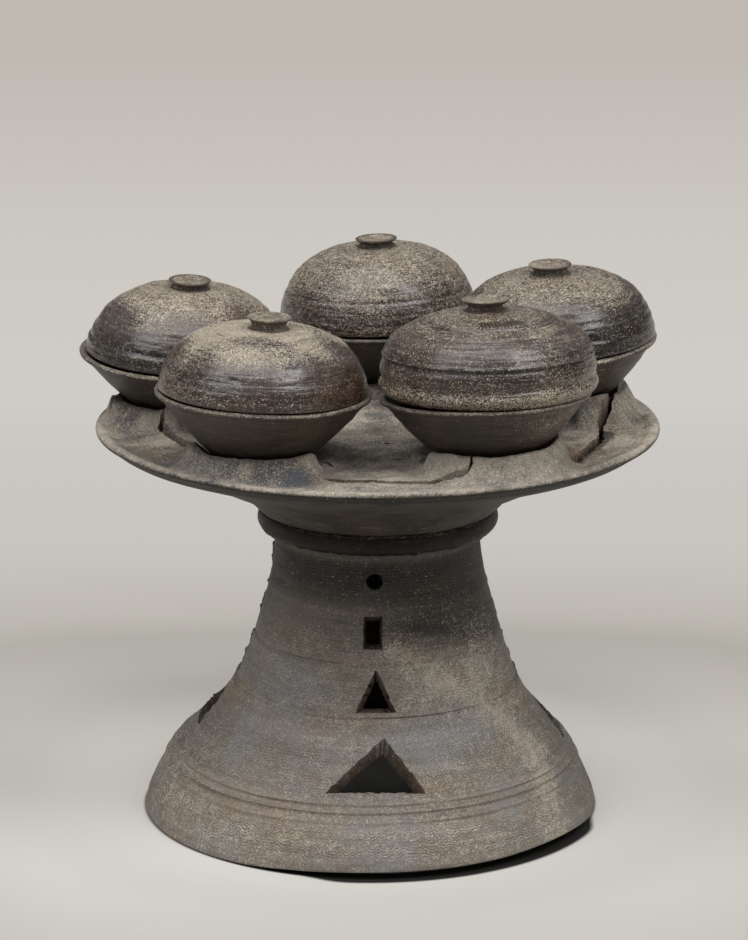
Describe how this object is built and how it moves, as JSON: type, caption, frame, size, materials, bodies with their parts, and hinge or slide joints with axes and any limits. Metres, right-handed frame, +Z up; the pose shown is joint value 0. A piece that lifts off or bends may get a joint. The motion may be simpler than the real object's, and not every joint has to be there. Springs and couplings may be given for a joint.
{
  "type": "pedestal dish",
  "caption": "Round stoneware dish on a flared, pierced foot, with lidded bowls set in raised collars on its top; each lid lifts off by its knob.",
  "frame": {"origin": "middle of the underside of the whole outline, on the plane that the foot stands on", "axes": "+Z up; -Y is the side that faces the viewer in the picture; +X to the viewer's right"},
  "size_m": [0.3714, 0.3648, 0.3582],
  "materials": {
    "foot_clay": "unglazed, combed and matte with pale kiln ash",
    "cordon_clay": "unglazed, dark and matte",
    "dish_clay": "unglazed, turned and matte",
    "plate_clay": "unglazed with pale kiln ash",
    "collar_clay": "unglazed with pale kiln ash",
    "bowl_clay": "unglazed, turned, dull sheen",
    "lid_clay": "dark body with speckled kiln ash and a dull sheen",
    "knob_clay": "speckled kiln ash"
  },
  "bodies": {
    "stand": {"foot": "foot_clay", "neck_cordon": "cordon_clay", "dish": "dish_clay", "top_plate": "plate_clay", "collar_front_left": "collar_clay", "collar_front_right": "collar_clay", "collar_right": "collar_clay", "collar_back": "collar_clay", "collar_left": "collar_clay", "bowl_front_left": "bowl_clay", "bowl_front_right": "bowl_clay", "bowl_right": "bowl_clay", "bowl_back": "bowl_clay", "bowl_left": "bowl_clay"},
    "cover_front_left": {"lid_front_left": "lid_clay", "knob_front_left": "knob_clay"},
    "cover_front_right": {"lid_front_right": "lid_clay", "knob_front_right": "knob_clay"},
    "cover_right": {"lid_right": "lid_clay", "knob_right": "knob_clay"},
    "cover_back": {"lid_back": "lid_clay", "knob_back": "knob_clay"},
    "cover_left": {"lid_left": "lid_clay", "knob_left": "knob_clay"}
  },
  "joints": [
    {"name": "lift_front_left", "type": "slide", "parent": "stand", "child": "cover_front_left", "axis": [0, 0, 1], "range_m": [0, 0.08]},
    {"name": "lift_front_right", "type": "slide", "parent": "stand", "child": "cover_front_right", "axis": [0, 0, 1], "range_m": [0, 0.08]},
    {"name": "lift_right", "type": "slide", "parent": "stand", "child": "cover_right", "axis": [0, 0, 1], "range_m": [0, 0.08]},
    {"name": "lift_back", "type": "slide", "parent": "stand", "child": "cover_back", "axis": [0, 0, 1], "range_m": [0, 0.08]},
    {"name": "lift_left", "type": "slide", "parent": "stand", "child": "cover_left", "axis": [0, 0, 1], "range_m": [0, 0.08]}
  ]
}
